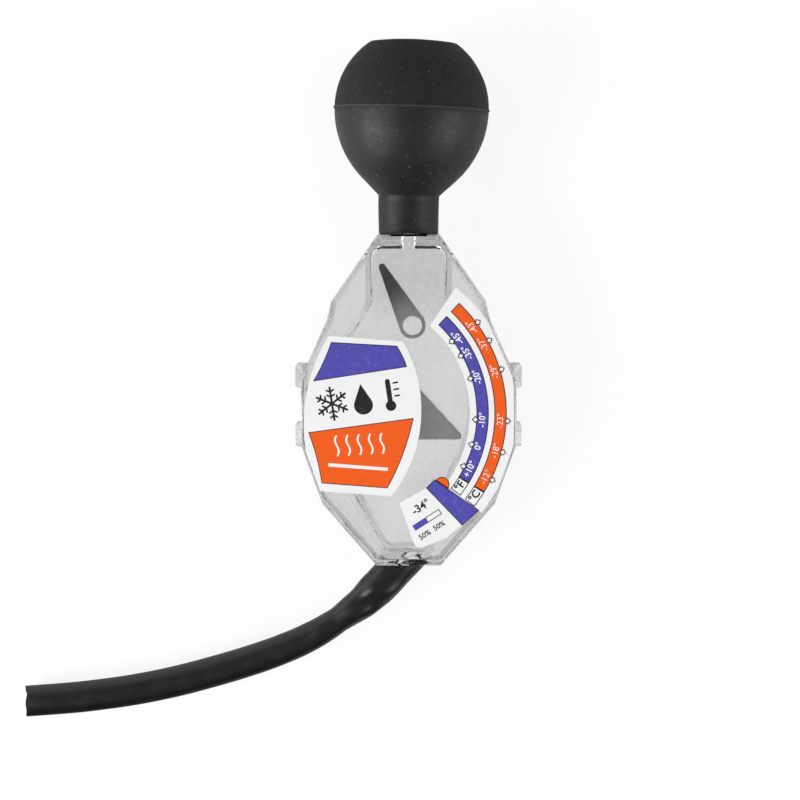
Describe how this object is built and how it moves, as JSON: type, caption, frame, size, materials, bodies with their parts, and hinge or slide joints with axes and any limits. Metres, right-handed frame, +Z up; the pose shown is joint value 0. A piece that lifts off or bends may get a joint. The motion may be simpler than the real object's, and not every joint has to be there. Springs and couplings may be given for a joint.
{
  "type": "coolant hydrometer",
  "caption": "Squeeze-bulb coolant tester with a flat clear housing, a weighted float pointer behind two printed temperature scales, and a plain pick-up hose.",
  "frame": {"origin": "on the surface the tester lies on, under the middle of the tester's box without its hose", "axes": "+Y along the tester towards its bulb, +Z up out of the scale side, +X to the right as the scale is read"},
  "size_m": [0.1613, 0.2184, 0.0497],
  "materials": {
    "black_rubber": "matt moulded rubber",
    "hose_rubber": "satin extruded rubber",
    "clear_plastic": "clear moulded",
    "grey_plastic": "grey moulded",
    "black_plastic": "black moulded",
    "brass": "turned",
    "steel": "ground",
    "label_white": "printed film"
  },
  "bodies": {
    "tester": {"squeeze_bulb": "black_rubber", "front_shell": "clear_plastic", "rear_shell": "clear_plastic", "hose": "hose_rubber", "pointer_pin": "steel", "name_label": "label_white", "scale_label": "label_white"},
    "pointer": {"pointer_vane": "grey_plastic", "counterweight": "brass"},
    "arm": {"level_arm": "black_plastic"}
  },
  "joints": [
    {"name": "pointer_pivot", "type": "hinge", "parent": "tester", "child": "pointer", "pos_m": [-0.0173, -0.02907, 0.01625], "axis": [0, -0.0891, 0.996], "range_deg": [-20, 52]},
    {"name": "arm_pivot", "type": "hinge", "parent": "tester", "child": "arm", "pos_m": [0.0012, -0.00188, 0.02541], "axis": [0, -0.0891, 0.996], "range_deg": [-48, 4]}
  ]
}
